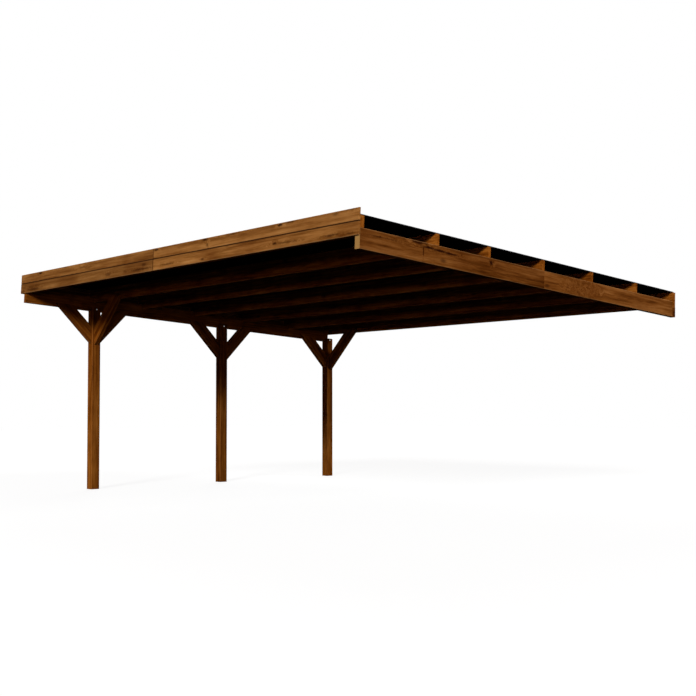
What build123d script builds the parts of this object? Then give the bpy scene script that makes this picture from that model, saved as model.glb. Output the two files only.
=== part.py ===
import os
from math import atan2, cos, radians, sin, tan

from build123d import *

# Lean-to carport for two cars: a timber frame with three posts on one side and
# a wall plate on the other, under ribbed sheets that fall to the back.
# X runs from the posts (-X) to the wall (X = 0), Y from the front to the back
# and Z up. The origin is the middle of the front wall plate's wall face.
roof_slope = 2.93

# Rafters, with the clear bays between them from the front to the back
rafter_depth = 170
rafter_thickness = 45
rafter_notch = 65
rafter_length = 6010
rafter_bays = [896, 684, 807, 808, 819, 767]
front_plate_rafter_count = 4

# Wall plate and purlin share one section
beam_depth = 180
beam_thickness = 56
purlin_overhang = 44

# Posts
post_width = 115
front_post_height = 2293
tongue_height = 45
rafter_off_post = 16

# Knee braces
brace_width = 158
brace_thickness = 56
purlin_brace_reach = 424
middle_brace_reach_forward = 450
middle_brace_reach_backward = 472
cross_brace_reach = 555

# Fascia boards
fascia_thickness = 18
lower_board_height = 119
upper_board_height = 111
board_seam = 2
board_end_gap = 3
board_joint_from_wall = 3076

# Roof sheets
rib_count = 86
ribs_per_sheet = 15
rib_height = 18
crown_width = 26
flank_width = 9
sheet_thickness = 1.2
sheet_clearance = 1.5
sheet_overhang = 11
lap_lip = 5

# Clearance of seated pieces, and broken edges
seat_clearance = 0.3
post_chamfer = 4
timber_chamfer = 3
board_chamfer = 3.5

# Places along the slope, from the front end of the wall plate
rafter_fronts = [0]
for bay in rafter_bays:
    rafter_fronts.append(rafter_fronts[-1] + rafter_thickness + bay)
rafter_middles = [front + rafter_thickness / 2 for front in rafter_fronts]
plate_joint = rafter_fronts[front_plate_rafter_count - 1] + rafter_thickness
side_board_joint = rafter_middles[front_plate_rafter_count - 1]
plate_end = rafter_fronts[-1]
frame_end = plate_end + rafter_thickness
roof_end = frame_end + fascia_thickness
origin_along = plate_joint / 2

# Levels square to the slope, from the wall plate's centre line
plate_top = beam_depth / 2
plate_bottom = -plate_top
rafter_bottom = plate_top - rafter_notch
rafter_top = rafter_bottom + rafter_depth
upper_board_bottom = rafter_bottom + lower_board_height + board_seam

# Places across
rafter_end = -rafter_length
purlin_outer = rafter_end + purlin_overhang
purlin_inner = purlin_outer + beam_thickness
purlin_middle = purlin_outer + beam_thickness / 2
post_middle_x = purlin_outer + post_width / 2
post_inner = purlin_outer + post_width
fascia_end = rafter_end - fascia_thickness
board_joint = -board_joint_from_wall

# The roof plane carries all that lies on the posts: its x runs to the wall,
# its y down the slope and its z square to the roof
slope = radians(roof_slope)
roof = Plane(origin=(0, 0, 0), x_dir=(1, 0, 0), z_dir=(0, sin(slope), cos(slope)))
up = Vector(0, 0, 1)


def world_y(distance, level=0):
    # Place in Y of a point of the roof
    return (distance - origin_along) * cos(slope) + level * sin(slope)


def world_z(y, level):
    # Height of a level of the roof over the place y
    return level / cos(slope) - y * tan(slope)


def across(distance):
    # Plane square to the slope that looks to the back, with x across and y up
    centre = roof.from_local_coords(Vector(0, distance - origin_along, 0))
    return Plane(origin=centre, x_dir=(1, 0, 0), z_dir=-roof.y_dir)


def finish(name, part):
    part.label = name
    export_step(part, f"parts/{name}.step")


os.makedirs("parts", exist_ok=True)

# Posts: plumb, with a seat cut to the slope for the purlin and a tongue that
# stands behind it
front_post_y = world_y(rafter_middles[1]) - rafter_off_post
rear_post_y = world_y(frame_end, rafter_bottom) - post_width / 2
middle_post_y = (front_post_y + rear_post_y) / 2
ground = world_z(front_post_y, plate_bottom) - front_post_height
post_places = {"front": front_post_y, "middle": middle_post_y, "rear": rear_post_y}
for place, post_y in post_places.items():
    rough_length = world_z(post_y, plate_top) - ground
    with BuildPart() as post:
        with BuildSketch(Plane.XY.offset(ground)) as profile:
            with Locations((post_middle_x, post_y)):
                Rectangle(post_width, post_width)
            chamfer(profile.vertices(), post_chamfer)
        extrude(amount=rough_length)
        split(bisect_by=roof.offset(plate_bottom + tongue_height), keep=Keep.BOTTOM)
        with BuildSketch(roof.offset(plate_bottom)):
            with Locations((purlin_inner, post_y / cos(slope))):
                Rectangle(post_width, 2 * post_width, align=(Align.MAX, Align.CENTER))
        extrude(amount=rough_length, mode=Mode.SUBTRACT)
    finish(f"post_{place}", post.part)

# Wall plate and purlin: each is two lengths butted end to end
purlin_joint = origin_along + middle_post_y / cos(slope)
beams = {
    "wall_plate_front": (-beam_thickness, 0, plate_joint),
    "wall_plate_rear": (-beam_thickness, plate_joint, plate_end),
    "purlin_front": (purlin_outer, 0, purlin_joint),
    "purlin_rear": (purlin_outer, purlin_joint, plate_end),
}
for name, (outer, start, end) in beams.items():
    with BuildPart() as beam:
        with BuildSketch(across(start)) as profile:
            with Locations((outer, 0)):
                Rectangle(beam_thickness, beam_depth, align=(Align.MIN, Align.CENTER))
            chamfer(profile.vertices(), timber_chamfer)
        extrude(amount=start - end)
    finish(name, beam.part)

# Rafters: notched over the purlin and the wall plate. The last one is plain and
# runs across their ends
rafter_face = Plane(origin=(rafter_end, 0, 0), x_dir=roof.y_dir, z_dir=(1, 0, 0))
for number, start in enumerate(rafter_fronts, 1):
    with BuildPart() as rafter:
        with BuildSketch(rafter_face) as profile:
            with Locations((start - origin_along, rafter_bottom)):
                Rectangle(rafter_thickness, rafter_depth, align=Align.MIN)
            chamfer(profile.vertices(), timber_chamfer)
        extrude(amount=rafter_length)
        if start < plate_end:
            with BuildSketch(across(start)):
                with Locations((-beam_thickness - seat_clearance, plate_top)):
                    Rectangle(2 * beam_thickness, beam_depth, align=(Align.MIN, Align.MAX))
                with Locations((purlin_middle, plate_top)):
                    Rectangle(
                        beam_thickness + 2 * seat_clearance,
                        beam_depth,
                        align=(Align.CENTER, Align.MAX),
                    )
            extrude(amount=-rafter_thickness, mode=Mode.SUBTRACT)
    finish(f"rafter_{number}", rafter.part)

# Cleat under the last rafter's end, against the wall plate's end
with BuildPart() as cleat:
    with BuildSketch(across(plate_end)):
        with Locations((0, plate_bottom)):
            Rectangle(beam_thickness, rafter_bottom - plate_bottom, align=(Align.MAX, Align.MIN))
    extrude(amount=plate_end - roof_end)
finish("rear_rafter_cleat", cleat.part)

# Knee braces at 45 degrees: to the purlin from every post, and across to the
# rafters over the front and rear posts. Each is cut plumb against its post. Half
# of its top stops under the timber that it carries, and half laps beside it
forward = Vector(0, -1, 0)
backward = Vector(0, 1, 0)
inward = Vector(1, 0, 0)
front_lap_y = world_y(rafter_fronts[1], rafter_bottom)
rear_lap_y = world_y(rafter_fronts[-1], rafter_bottom)
half_post = post_width / 2
purlin_braces = {
    "front_post_forward": (front_post_y - half_post, forward, purlin_brace_reach),
    "front_post_backward": (front_post_y + half_post, backward, purlin_brace_reach),
    "middle_post_forward": (middle_post_y - half_post, forward, middle_brace_reach_forward),
    "middle_post_backward": (middle_post_y + half_post, backward, middle_brace_reach_backward),
    "rear_post_forward": (rear_post_y - half_post, forward, purlin_brace_reach),
}
cross_braces = {
    "front_post_across": (front_lap_y, inward, cross_brace_reach),
    "rear_post_across": (rear_lap_y, inward, cross_brace_reach),
}
for name, (y, lean, reach) in (purlin_braces | cross_braces).items():
    if lean == inward:
        x = post_inner
        top_level = rafter_bottom
        lap_sides = (Align.CENTER, Align.MIN)
    else:
        x = purlin_inner
        top_level = plate_bottom
        lap_sides = (Align.MAX, Align.CENTER)
    foot = Vector(x, y, world_z(y, top_level) - reach)
    lap = roof.to_local_coords(Vector(x, y, world_z(y, top_level)))
    with BuildPart() as brace:
        with BuildSketch(Plane(origin=foot, x_dir=lean.cross(up), z_dir=lean + up)) as profile:
            Rectangle(brace_thickness, brace_width, align=(Align.CENTER, Align.MAX))
            chamfer(profile.vertices(), timber_chamfer)
        extrude(amount=2 * reach, both=True)
        split(bisect_by=Plane(origin=foot, z_dir=lean), keep=Keep.TOP)
        split(bisect_by=roof.offset(top_level + tongue_height), keep=Keep.BOTTOM)
        with BuildSketch(roof.offset(top_level)):
            with Locations((lap.X, lap.Y)):
                Rectangle(3 * reach, 3 * reach, align=lap_sides)
        extrude(amount=reach, mode=Mode.SUBTRACT)
    finish(f"brace_{name}", brace.part)

# Fascia boards: a lower and an upper row along the front and the side, and one
# row under the sheets at the back
rows = {
    "lower": (rafter_bottom, lower_board_height),
    "upper": (upper_board_bottom, upper_board_height),
}
front_face = across(-fascia_thickness)
front_spans = {
    "left": (fascia_end, board_joint - board_end_gap / 2),
    "right": (board_joint + board_end_gap / 2, 0),
}
side_face = Plane(origin=(fascia_end, 0, 0), x_dir=roof.y_dir, z_dir=(1, 0, 0))
side_spans = {
    "front": (0, side_board_joint - board_end_gap / 2),
    "rear": (side_board_joint + board_end_gap / 2, roof_end),
}
for row, (bottom, height) in rows.items():
    for side, (start, end) in front_spans.items():
        with BuildPart() as board:
            with BuildSketch(front_face):
                with Locations((start, bottom)):
                    Rectangle(end - start, height, align=Align.MIN)
            extrude(amount=-fascia_thickness)
            chamfer(board.faces().sort_by(Axis.Y)[0].edges(), board_chamfer)
        finish(f"front_fascia_{row}_{side}", board.part)
    for side, (start, end) in side_spans.items():
        with BuildPart() as board:
            with BuildSketch(side_face):
                with Locations((start - origin_along, bottom)):
                    Rectangle(end - start, height, align=Align.MIN)
            extrude(amount=fascia_thickness)
            chamfer(board.faces().sort_by(Axis.X)[0].edges(), board_chamfer)
        finish(f"side_fascia_{row}_{side}", board.part)

rear_face = across(frame_end)
rear_spans = {
    "left": (rafter_end, board_joint - board_end_gap / 2),
    "right": (board_joint + board_end_gap / 2, 0),
}
for side, (start, end) in rear_spans.items():
    with BuildPart() as board:
        with BuildSketch(rear_face):
            with Locations((start, rafter_bottom)):
                Rectangle(end - start, rafter_depth, align=Align.MIN)
        extrude(amount=-fascia_thickness)
        chamfer(board.faces().sort_by(Axis.Y)[-1].edges(), board_chamfer)
    finish(f"rear_fascia_{side}", board.part)

# Roof sheets: the underside of the ribs is drawn across the roof, thickened and
# drawn out down the slope. A raised and widened rib at the end of each sheet
# laps over the first rib of the next, and the last sheet ends at the wall
crown_level = rib_height - sheet_thickness
flank_angle = atan2(crown_level, flank_width)
lap_rise = sheet_thickness + seat_clearance
lap_shift = lap_rise / sin(flank_angle)
lap_run = lap_shift - lap_rise / tan(flank_angle)
lip_shift = lap_shift + flank_width - lap_lip / tan(flank_angle)
sheets_start = rafter_end + sheet_clearance
rib_pitch = -sheets_start / rib_count
for first_rib in range(0, rib_count, ribs_per_sheet):
    next_rib = min(first_rib + ribs_per_sheet, rib_count)
    underside = []
    for rib in range(first_rib, next_rib):
        foot = sheets_start + rib * rib_pitch
        crown = foot + flank_width
        underside += [
            (foot, 0),
            (crown, crown_level),
            (crown + crown_width, crown_level),
            (crown + crown_width + flank_width, 0),
        ]
    next_foot = sheets_start + next_rib * rib_pitch
    if next_rib < rib_count:
        lap_crown = next_foot + flank_width
        lap_crown_end = lap_crown + crown_width
        underside += [
            (next_foot - lap_shift, 0),
            (lap_crown - lap_run, crown_level + lap_rise),
            (lap_crown_end + lap_run, crown_level + lap_rise),
            (lap_crown_end + lip_shift, lap_lip),
        ]
    else:
        underside.append((next_foot, 0))
    with BuildPart() as sheet:
        with BuildSketch(across(sheet_clearance)):
            with BuildLine():
                Polyline([(x, rafter_top + level) for x, level in underside])
                offset(amount=sheet_thickness, side=Side.LEFT, kind=Kind.INTERSECTION)
            make_face()
        extrude(amount=sheet_clearance - roof_end - sheet_overhang)
    finish(f"roof_sheet_{first_rib // ribs_per_sheet + 1}", sheet.part)
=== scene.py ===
from math import cos, radians, sin, tan

import bpy
from mathutils import Euler, Matrix, Vector


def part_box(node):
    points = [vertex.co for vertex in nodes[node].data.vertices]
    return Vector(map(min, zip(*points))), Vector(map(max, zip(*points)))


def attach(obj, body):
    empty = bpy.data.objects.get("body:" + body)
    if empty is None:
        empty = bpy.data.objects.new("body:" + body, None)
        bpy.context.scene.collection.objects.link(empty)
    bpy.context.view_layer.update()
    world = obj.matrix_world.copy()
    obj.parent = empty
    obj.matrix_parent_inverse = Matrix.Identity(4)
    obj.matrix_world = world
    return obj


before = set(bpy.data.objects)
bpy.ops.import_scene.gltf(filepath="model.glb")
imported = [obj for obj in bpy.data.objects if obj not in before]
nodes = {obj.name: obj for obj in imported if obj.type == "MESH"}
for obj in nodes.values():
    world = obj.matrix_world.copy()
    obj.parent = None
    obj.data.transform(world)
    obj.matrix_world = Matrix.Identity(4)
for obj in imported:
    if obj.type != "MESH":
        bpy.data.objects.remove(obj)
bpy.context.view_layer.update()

# Places in the row frame, in metres
SLOPE = radians(2.93)
ACROSS = Vector((1, 0, 0))
UPRIGHT = Vector((0, 0, 1))
DOWN_SLOPE = Vector((0, cos(SLOPE), -sin(SLOPE)))
OFF_ROOF = Vector((0, sin(SLOPE), cos(SLOPE)))
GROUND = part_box("post_front")[0][2]

# Stained timber: the dark, middle and light of the grain. The boards take the stain
# palest and the wall plate takes it greyest
TIMBER_STAIN = ((0.085, 0.019, 0.0015), (0.205, 0.060, 0.0055), (0.320, 0.110, 0.0160))
PLATE_STAIN = ((0.064, 0.017, 0.0020), (0.150, 0.048, 0.0078), (0.240, 0.092, 0.0220))
BOARD_STAIN = ((0.130, 0.044, 0.0070), (0.265, 0.109, 0.0260), (0.395, 0.186, 0.0540))
KNOT = (0.020, 0.004, 0.001)
ARRIS = (0.460, 0.240, 0.0900)
END_GRAIN = (0.330, 0.180, 0.0550)
ARRIS_WIDTH = 0.006
END_DEPTH = 0.004
WOOD_ROUGHNESS = 0.75

# How light each timber's stain is, and how worn its arrises are. The posts', braces' and front
# fascia boards' tones are partly painted light and shade: the middle post is darkened as painted
# shade
POST_TONES_WITH_PAINTED_SHADE = {"front": 1.02, "middle": 0.70, "rear": 0.97}
PLATE_TONES = {"front": 0.98, "rear": 1.06}
PURLIN_TONE = 0.90
RAFTER_TONE = 1.10
CLEAT_TONE = 0.72
# Painted light and shade: each brace's tone is lighter where the brace stands lit and darker
# where it stands in shade, as with the middle post's braces and the front post's backward brace
BRACE_TONES_WITH_PAINTED_LIGHT_AND_SHADE = {
    "front_post_forward": 0.95,
    "front_post_backward": 0.70,
    "front_post_across": 1.15,
    "middle_post_forward": 0.70,
    "middle_post_backward": 0.70,
    "rear_post_forward": 1.20,
    "rear_post_across": 0.80,
}
# Painted shade: the lower left board is darkened for the shade it stands in
FRONT_FASCIA_TONES_WITH_PAINTED_SHADE = {
    "upper_right": 1.05,
    "lower_right": 1.06,
    "upper_left": 0.95,
    "lower_left": 0.78,
}
FASCIA_TONE = 0.90
POST_WEAR = 0.12
BEAM_WEAR = 0.10
PLATE_WEAR = 0.35
RAFTER_WEAR = 0.30
BOARD_WEAR = 0.50

# Grain: three noises, drawn out along the timber, each with its share of the whole
SEED_STEP = Vector((3.17, 1.31, 0.73))
GRAIN_STRETCH = Vector((0.055, 1, 1))
BROAD_SCALE, BROAD_SHARE = 10, 0.34
STREAK_SCALE, STREAK_SHARE = 36, 0.42
FINE_SCALE, FINE_SHARE = 140, 0.24
TIMBER_SPREAD = 0.10
BOARD_SPREAD = 0.13
BUMP_STRENGTH = 0.18
BUMP_DEPTH = 0.002

# The grain's swing round knots and where it is curly, and how far it reaches, as a
# share of the mark's half sizes
SWING_SCALE = 11
KNOT_SWING, KNOT_REACH = 0.16, 3.0
CURL_SWING, CURL_REACH = 0.60, 1.0
CALM_SHARE = 0.4

# Broad patches that took more stain
PATCH_SCALE = 1.9
PATCH_STAIN = (0.70, 0.62, 0.54)
PATCH_START, PATCH_END = 0.34, 0.60

# Small knots, spread through the timber
SMALL_KNOT_SCALE = 4.6
SMALL_KNOT_STRETCH = Vector((0.45, 1, 1))
SMALL_KNOT_CORE, SMALL_KNOT_EDGE = 0.03, 0.13
SMALL_KNOT_DARKNESS = 0.6

# Knots, cracks and dark streaks: the place along and over the board, half of the
# length and of the height, and how dark
MARKS = {
    "front_fascia_upper_left": [
        (-5.535, 0.237, 0.045, 0.014, 0.95), (-4.525, 0.207, 0.100, 0.012, 0.45),
    ],
    "front_fascia_upper_right": [
        (-3.025, 0.238, 0.050, 0.014, 0.90), (-2.168, 0.243, 0.050, 0.016, 0.90),
        (-2.126, 0.184, 0.020, 0.022, 0.60), (-1.730, 0.242, 0.120, 0.008, 0.60),
        (-1.024, 0.238, 0.040, 0.014, 0.90), (-0.900, 0.246, 0.120, 0.008, 0.60),
        (-0.087, 0.251, 0.100, 0.008, 0.50),
    ],
    "front_fascia_lower_left": [
        (-3.288, 0.062, 0.200, 0.012, 0.65), (-5.682, 0.055, 0.160, 0.018, 0.65),
        (-3.967, 0.071, 0.060, 0.018, 0.50),
    ],
    "front_fascia_lower_right": [
        (-2.198, 0.052, 0.035, 0.012, 0.75), (-2.806, 0.066, 0.100, 0.010, 0.55),
        (-1.091, 0.076, 0.035, 0.013, 0.85), (-0.950, 0.070, 0.140, 0.009, 0.55),
        (-0.342, 0.058, 0.120, 0.010, 0.65), (-0.101, 0.047, 0.060, 0.008, 0.50),
    ],
    "wall_plate_front": [
        (-0.575, 0.080, 0.110, 0.016, 0.90), (-0.500, 0.010, 0.009, 0.055, 0.85),
        (-0.430, 0.052, 0.100, 0.012, 1.00), (-0.280, 0.046, 0.120, 0.014, 1.00),
        (-0.140, 0.040, 0.100, 0.011, 1.00), (0.443, 0.047, 0.028, 0.024, 1.00),
        (-1.000, 0.045, 0.220, 0.007, 0.40),
    ],
}
MARK_EDGE_SCALE = 45
MARK_EDGE_SWING = 0.9
MARK_CORE, MARK_EDGE = 0.75, 1.75

# Dirt and painted shade in the seams between the front fascia's boards: the same five values
ROW_SEAM = (-3.0, 0.145, 50.0, 0.009, 0.85)
LENGTH_SEAM = (-3.076, 0.145, 0.010, 50.0, 0.60)
SEAM_CORE, SEAM_EDGE = 0.5, 1.0

# Curly grain: the place along and over the timber, and half of its length and height
CURLS = {"wall_plate_rear": (1.95, 0.0, 0.45, 0.14)}

# Roof sheets: the least and the most dust, on the shaded and on the weather side. The shaded
# side's near-black is painted shade; the weather side is lighter with dust
SHADED_SHEET = ((0.003, 0.003, 0.003), (0.005, 0.005, 0.005))
DUSTY_SHEET = ((0.018, 0.018, 0.019), (0.034, 0.034, 0.035))
DUST_START, DUST_END = 0.3, 0.7
DUST_SCALE = 3.0
DUST_SCALE_STEP = 0.2
WEATHER_SIDE = 0.05
SHEET_ROUGHNESS = 0.7

# Bolt heads
DULL_ZINC = (0.55, 0.55, 0.55)
BRIGHT_ZINC = (0.80, 0.80, 0.80)
ZINC_SCALE = 220
ZINC_START, ZINC_END = 0.35, 0.65
ZINC_METALLIC = 0.6
ZINC_ROUGHNESS = 0.35
BOLT_RADIUS = 0.011
BOLT_DOME = 0.005
BOLT_SEGMENTS = 24
BOLT_RINGS = 12
BOLT_OVER_SEAT = 0.022
SEAT_LEVEL = -0.090

# Floor and world. The world's light on the object is strongest at the horizon, and
# falls to the sky's between two heights of the ray
FLOOR_SIZE = 90
FLOOR_MIDDLE = (-3, 1, GROUND)
FLOOR_PALE = (0.8, 0.8, 0.8)
FLOOR_BOUNCE = (0.02, 0.02, 0.02)
FLOOR_SHADOW = 0.25
FLOOR_WHITE = 1.165
WHITE = (1, 1, 1)
FILL_TINT = (1.0, 0.70, 0.60)
HORIZON_LIGHT = 1.9
SKY_LIGHT = 0.06
GLOW_START, GLOW_END = -0.01, 0.05

# Camera at the photograph's place
CAMERA_PLACE = (6.2586, -7.3639, -1.3814)
CAMERA_YAW = 46.489
CAMERA_PITCH = 2.268
CAMERA_ROLL = -0.060
CAMERA_LENS = 54.69
CAMERA_SENSOR = 36
CAMERA_SHIFT = (0.0006, 0.0320)
CAMERA_REACH = 1000


class Tree:
    """The node tree of a material or the world, with short ways to add and join nodes."""

    def __init__(self, owner):
        owner.use_nodes = True
        self.owner = owner
        self.nodes = owner.node_tree.nodes

    def add(self, kind, **properties):
        node = self.nodes.new(kind)
        for name, value in properties.items():
            setattr(node, name, value)
        return node

    def join(self, output, target):
        self.owner.node_tree.links.new(output, target)

    def feed(self, node, values):
        for place, value in values:
            if isinstance(value, (int, float)):
                node.inputs[place].default_value = value
            elif isinstance(value, (tuple, Vector)):
                room = len(node.inputs[place].default_value)
                node.inputs[place].default_value = (*value, 1)[:room]
            else:
                self.join(value, node.inputs[place])

    def math(self, operation, *values):
        node = self.add("ShaderNodeMath", operation=operation)
        self.feed(node, enumerate(values))
        return node.outputs[0]

    def vector(self, operation, *values):
        node = self.add("ShaderNodeVectorMath", operation=operation)
        self.feed(node, enumerate(values))
        return node.outputs["Value" if operation in ("DOT_PRODUCT", "LENGTH") else "Vector"]

    def combine(self, x, y, z):
        node = self.add("ShaderNodeCombineXYZ")
        self.feed(node, enumerate((x, y, z)))
        return node.outputs[0]

    def coordinates(self, kind):
        return self.add("ShaderNodeTexCoord").outputs[kind]

    def mix(self, factor, first, second, blend="MIX"):
        node = self.add("ShaderNodeMix", data_type="RGBA", blend_type=blend)
        self.feed(node, ((0, factor), (6, first), (7, second)))
        return node.outputs[2]

    def ramp(self, value, stops):
        node = self.add("ShaderNodeValToRGB")
        elements = node.color_ramp.elements
        while len(elements) < len(stops):
            elements.new(0.5)
        for element, (place, colour) in zip(elements, stops):
            element.position = place
            element.color = (*colour, 1)
        self.join(value, node.inputs[0])
        return node.outputs[0]

    def fall(self, value, start, end, high=1.0, low=0.0):
        """High before the start and low past the end, with a smooth step between."""
        node = self.add("ShaderNodeMapRange", interpolation_type="SMOOTHSTEP")
        self.feed(node, enumerate((value, start, end, high, low)))
        return node.outputs["Result"]

    def noise(self, vector, scale, detail=4.0, roughness=0.55, distortion=0.0):
        node = self.add("ShaderNodeTexNoise")
        self.feed(node, (
            ("Vector", vector),
            ("Scale", scale),
            ("Detail", detail),
            ("Roughness", roughness),
            ("Distortion", distortion),
        ))
        return node.outputs["Fac"]

    def seen(self):
        """One for rays that show a thing itself, and nothing for rays that light others."""
        rays = self.add("ShaderNodeLightPath").outputs
        direct = self.math("MAXIMUM", rays["Is Camera Ray"], rays["Is Glossy Ray"])
        return self.math("MAXIMUM", direct, rays["Is Transmission Ray"])

    def surface(self, **values):
        shader = self.nodes["Principled BSDF"]
        self.feed(shader, ((name.replace("_", " "), value) for name, value in values.items()))
        return shader


def new_tree(name):
    return Tree(bpy.data.materials.new(name))


def spans(node, directions):
    """Middle and half size of a timber along each direction."""
    found = []
    for direction in directions:
        places = [direction.dot(vertex.co) for vertex in nodes[node].data.vertices]
        found.append(((max(places) + min(places)) / 2, (max(places) - min(places)) / 2))
    return found


def ellipse(tree, along, over, mark):
    """Distance from a mark's middle, as a share of its half sizes."""
    middle_along, middle_over, half_length, half_height = mark[:4]
    return tree.vector("LENGTH", tree.combine(
        tree.math("MULTIPLY_ADD", along, 1 / half_length, -middle_along / half_length),
        tree.math("MULTIPLY_ADD", over, 1 / half_height, -middle_over / half_height),
        0.0,
    ))


def swung(tree, name, along, over, shifted):
    """The grain's place, swung round the timber's knots or where it is curly."""
    if name in CURLS:
        marks, swing, reach = [CURLS[name]], CURL_SWING, CURL_REACH
    else:
        marks, swing, reach = MARKS.get(name, []), KNOT_SWING, KNOT_REACH
    near = None
    for mark in marks:
        halo = tree.fall(ellipse(tree, along, over, mark), CALM_SHARE * reach, reach)
        near = halo if near is None else tree.math("MAXIMUM", near, halo)
    if near is None:
        return shifted
    wobble = tree.math("SUBTRACT", tree.noise(shifted, SWING_SCALE, detail=2), 0.5)
    wobble = tree.math("MULTIPLY", tree.math("MULTIPLY", wobble, near), swing)
    return tree.vector("ADD", shifted, tree.combine(0.0, wobble, wobble))


def wood(name, grain, side, seed, stain, tone, wear):
    """Stained softwood with its grain along one direction of the row frame."""
    tree = new_tree(f"stained_{name}")
    place = tree.coordinates("Object")
    directions = (grain, side, grain.cross(side))
    along, over, through = (tree.vector("DOT_PRODUCT", place, way) for way in directions)
    shifted = tree.vector("ADD", tree.combine(along, over, through), SEED_STEP * seed)

    grain_place = swung(tree, name, along, over, shifted)
    grain_place = tree.vector("MULTIPLY", grain_place, GRAIN_STRETCH)
    broad = tree.noise(grain_place, BROAD_SCALE, detail=2, distortion=0.5)
    streaks = tree.noise(grain_place, STREAK_SCALE, detail=4, roughness=0.6, distortion=0.4)
    fine = tree.noise(grain_place, FINE_SCALE, detail=5, roughness=0.7, distortion=0.3)
    level = tree.math("MULTIPLY", broad, BROAD_SHARE)
    level = tree.math("MULTIPLY_ADD", streaks, STREAK_SHARE, level)
    level = tree.math("MULTIPLY_ADD", fine, FINE_SHARE, level)
    dark, middle, light = (tuple(tone * part for part in colour) for colour in stain)
    spread = BOARD_SPREAD if stain is BOARD_STAIN else TIMBER_SPREAD
    colour = tree.ramp(level, [(0.5 - spread, dark), (0.5, middle), (0.5 + spread, light)])

    patches = tree.noise(shifted, PATCH_SCALE, detail=3)
    patches = tree.ramp(patches, [(PATCH_START, PATCH_STAIN), (PATCH_END, WHITE)])
    colour = tree.mix(1.0, colour, patches, blend="MULTIPLY")

    # Small knots: the near places of a few points spread through the timber
    points = tree.add("ShaderNodeTexVoronoi", feature="F1")
    tree.feed(points, (
        ("Vector", tree.vector("MULTIPLY", shifted, SMALL_KNOT_STRETCH)),
        ("Scale", SMALL_KNOT_SCALE),
        ("Randomness", 1.0),
    ))
    ring = tree.fall(points.outputs["Distance"], SMALL_KNOT_CORE, SMALL_KNOT_EDGE)
    colour = tree.mix(tree.math("MULTIPLY", ring, SMALL_KNOT_DARKNESS), colour, KNOT)

    rough = tree.noise(shifted, MARK_EDGE_SCALE, detail=2)
    for mark in MARKS.get(name, []):
        distance = ellipse(tree, along, over, mark)
        distance = tree.math("MULTIPLY_ADD", rough, MARK_EDGE_SWING, distance)
        core = tree.math("MULTIPLY", tree.fall(distance, MARK_CORE, MARK_EDGE), mark[4])
        colour = tree.mix(core, colour, KNOT)

    # The stain is thin on the long arrises, and on a fresh cut end
    (middle_along, half_along), *sections = spans(name, directions)
    depths = []
    for position, (middle_place, half_size) in zip((over, through), sections):
        off_middle = tree.math("ABSOLUTE", tree.math("SUBTRACT", position, middle_place))
        depths.append(tree.math("SUBTRACT", half_size, off_middle))
    worn = tree.fall(tree.math("MAXIMUM", *depths), 0.5 * ARRIS_WIDTH, ARRIS_WIDTH)
    colour = tree.mix(tree.math("MULTIPLY", worn, wear), colour, ARRIS)
    if name.startswith("front_fascia"):
        # The seams are darkened with dirt and with painted shade in the gap between the boards
        for seam in (ROW_SEAM, LENGTH_SEAM):
            seam_dirt_and_shade = tree.fall(ellipse(tree, along, over, seam), SEAM_CORE, SEAM_EDGE)
            colour = tree.mix(tree.math("MULTIPLY", seam_dirt_and_shade, seam[4]), colour, KNOT)
    if name == "wall_plate_front":
        front_end = middle_along - half_along
        end = tree.fall(along, front_end, front_end + END_DEPTH)
        colour = tree.mix(end, colour, END_GRAIN)

    bump = tree.add("ShaderNodeBump")
    tree.feed(bump, (("Strength", BUMP_STRENGTH), ("Distance", BUMP_DEPTH), ("Height", fine)))
    tree.surface(
        Base_Color=colour,
        Normal=bump.outputs[0],
        Roughness=WOOD_ROUGHNESS,
        Specular_IOR_Level=0.0,
    )
    return tree.owner


def sheet_surface(number):
    """Opaque anthracite, with dust on the side that faces off the roof and the underside
    darkened to near black as painted shade.
    """
    tree = new_tree(f"sheet_surface_{number}")
    scale = DUST_SCALE + DUST_SCALE_STEP * number
    dust = tree.noise(tree.coordinates("Object"), scale, detail=5)
    facing = tree.vector("DOT_PRODUCT", tree.coordinates("Normal"), OFF_ROOF)
    # The underside's near-black colour is painted shade
    shaded, dusty = (
        tree.ramp(dust, list(zip((DUST_START, DUST_END), colours)))
        for colours in (SHADED_SHEET, DUSTY_SHEET)
    )
    weather_side = tree.math("GREATER_THAN", facing, WEATHER_SIDE)
    tree.surface(
        Base_Color=tree.mix(weather_side, shaded, dusty),
        Roughness=SHEET_ROUGHNESS,
        Specular_IOR_Level=0.0,
    )
    return tree.owner


def bright_steel():
    tree = new_tree("zinc_plated_steel")
    wear = tree.noise(tree.coordinates("Object"), ZINC_SCALE, detail=3)
    tree.surface(
        Base_Color=tree.ramp(wear, [(ZINC_START, DULL_ZINC), (ZINC_END, BRIGHT_ZINC)]),
        Metallic=ZINC_METALLIC,
        Roughness=ZINC_ROUGHNESS,
    )
    return tree.owner


def paint(node, material):
    for place in nodes[node].material_slots:
        place.material = material


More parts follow.
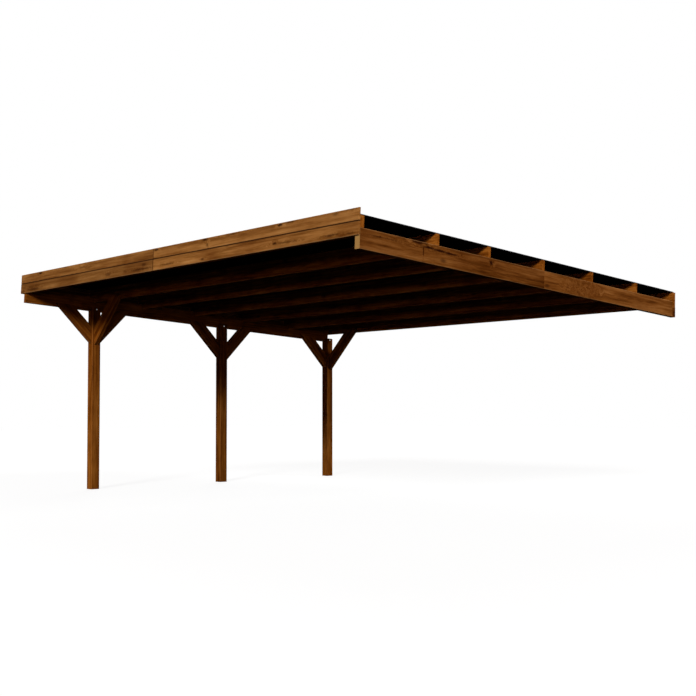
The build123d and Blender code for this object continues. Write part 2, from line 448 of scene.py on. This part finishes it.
# Each timber has its own grain, along its own length
timber = {}
for place, tone in POST_TONES_WITH_PAINTED_SHADE.items():
    timber[f"post_{place}"] = (UPRIGHT, ACROSS, TIMBER_STAIN, tone, POST_WEAR)
for place, tone in PLATE_TONES.items():
    timber[f"purlin_{place}"] = (DOWN_SLOPE, OFF_ROOF, TIMBER_STAIN, PURLIN_TONE, BEAM_WEAR)
    timber[f"wall_plate_{place}"] = (DOWN_SLOPE, OFF_ROOF, PLATE_STAIN, tone, PLATE_WEAR)
for number in range(1, 8):
    timber[f"rafter_{number}"] = (ACROSS, OFF_ROOF, TIMBER_STAIN, RAFTER_TONE, RAFTER_WEAR)
timber["rear_rafter_cleat"] = (DOWN_SLOPE, OFF_ROOF, TIMBER_STAIN, CLEAT_TONE, RAFTER_WEAR)
lean = {
    "forward": Vector((0, -1, 1)).normalized(),
    "backward": Vector((0, 1, 1)).normalized(),
    "across": Vector((1, 0, 1)).normalized(),
}
for name, tone in BRACE_TONES_WITH_PAINTED_LIGHT_AND_SHADE.items():
    way = lean[name.rsplit("_", 1)[1]]
    flat = Vector((way.x, way.y, -way.z))
    timber[f"brace_{name}"] = (way, flat, TIMBER_STAIN, tone, BEAM_WEAR)
for board, tone in FRONT_FASCIA_TONES_WITH_PAINTED_SHADE.items():
    timber[f"front_fascia_{board}"] = (ACROSS, OFF_ROOF, BOARD_STAIN, tone, BOARD_WEAR)
for board in ("lower_front", "lower_rear", "upper_front", "upper_rear"):
    timber[f"side_fascia_{board}"] = (DOWN_SLOPE, OFF_ROOF, BOARD_STAIN, FASCIA_TONE, BOARD_WEAR)
for side in ("left", "right"):
    timber[f"rear_fascia_{side}"] = (ACROSS, OFF_ROOF, BOARD_STAIN, FASCIA_TONE, BOARD_WEAR)
for seed, (name, (grain, side, stain, tone, wear)) in enumerate(sorted(timber.items())):
    paint(name, wood(name, grain, side, seed, stain, tone, wear))
for number in range(1, 7):
    paint(f"roof_sheet_{number}", sheet_surface(number))
STEEL = bright_steel()


def bolt_head(post):
    """Domed head on the post's inner face, just over the purlin's underside."""
    low, high = (Vector(corner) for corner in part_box(post))
    middle_y = (low.y + high.y) / 2
    seat = SEAT_LEVEL / cos(SLOPE) - middle_y * tan(SLOPE)
    bpy.ops.mesh.primitive_uv_sphere_add(
        segments=BOLT_SEGMENTS, ring_count=BOLT_RINGS, radius=1)
    head = bpy.context.object
    head.name = f"bolt_head_{post}"
    scale = Matrix.Diagonal((BOLT_DOME, BOLT_RADIUS, BOLT_RADIUS, 1))
    head.data.transform(Matrix.Translation((high.x, middle_y, seat + BOLT_OVER_SEAT)) @ scale)
    head.data.materials.append(STEEL)
    for face in head.data.polygons:
        face.use_smooth = True
    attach(head, "root")


for post in ("post_front", "post_middle", "post_rear"):
    bolt_head(post)

# Floor: white to the camera, but it keeps the carport's shadow
bpy.ops.mesh.primitive_plane_add(size=FLOOR_SIZE, location=FLOOR_MIDDLE)
floor = bpy.context.object
floor.name = "floor"
tree = new_tree("pale_floor")
tree.nodes.remove(tree.nodes["Principled BSDF"])
pale = tree.add("ShaderNodeBsdfDiffuse")
tree.feed(pale, [("Color", FLOOR_PALE)])
white = tree.add("ShaderNodeEmission")
tree.feed(white, (("Color", WHITE), ("Strength", FLOOR_WHITE)))
shown = tree.add("ShaderNodeMixShader")
tree.feed(shown, enumerate((1 - FLOOR_SHADOW, pale.outputs[0], white.outputs[0])))
bounce = tree.add("ShaderNodeBsdfDiffuse")
tree.feed(bounce, [("Color", FLOOR_BOUNCE)])
whole = tree.add("ShaderNodeMixShader")
tree.feed(whole, enumerate((tree.seen(), bounce.outputs[0], shown.outputs[0])))
tree.join(whole.outputs[0], tree.nodes["Material Output"].inputs["Surface"])
floor.data.materials.append(tree.owner)

# World: white to the camera, and a soft warm light to the object
world = bpy.data.worlds.new("studio")
bpy.context.scene.world = world
sky = Tree(world)
seen = sky.seen()
height = sky.add("ShaderNodeSeparateXYZ")
sky.join(sky.coordinates("Generated"), height.inputs[0])
glow = sky.fall(height.outputs["Z"], GLOW_START, GLOW_END, HORIZON_LIGHT, SKY_LIGHT)
strength = sky.add("ShaderNodeMapRange")
sky.feed(strength, (("Value", seen), ("To Min", glow), ("To Max", 1.0)))
sky.feed(sky.nodes["Background"], (
    ("Color", sky.mix(seen, FILL_TINT, WHITE)),
    ("Strength", strength.outputs["Result"]),
))


def sun(name, azimuth, elevation, energy, softness):
    """A sun that shines from an azimuth (0 from the front, 90 from the wall's side)."""
    light = bpy.data.lights.new(name, "SUN")
    light.energy = energy
    light.angle = radians(softness)
    lamp = bpy.data.objects.new(name, light)
    source = Vector((
        sin(radians(azimuth)) * cos(radians(elevation)),
        -cos(radians(azimuth)) * cos(radians(elevation)),
        sin(radians(elevation)),
    ))
    lamp.rotation_euler = source.to_track_quat("Z", "Y").to_euler()
    bpy.context.collection.objects.link(lamp)


sun("key", azimuth=33, elevation=20, energy=3.25, softness=12)
sun("rear_fill", azimuth=115, elevation=28, energy=1.2, softness=14)
sun("back_fill", azimuth=230, elevation=30, energy=0.9, softness=25)

camera_data = bpy.data.cameras.new("photo_camera")
camera = bpy.data.objects.new("photo_camera", camera_data)
bpy.context.collection.objects.link(camera)
camera_data.sensor_width = CAMERA_SENSOR
camera_data.lens = CAMERA_LENS
camera_data.shift_x, camera_data.shift_y = CAMERA_SHIFT
camera_data.clip_end = CAMERA_REACH
camera.location = CAMERA_PLACE
look = Euler((radians(90 + CAMERA_PITCH), 0, radians(CAMERA_YAW))).to_matrix()
camera.rotation_euler = (look @ Matrix.Rotation(radians(CAMERA_ROLL), 3, "Z")).to_euler()
bpy.context.scene.camera = camera

bpy.context.scene.view_settings.view_transform = "Standard"
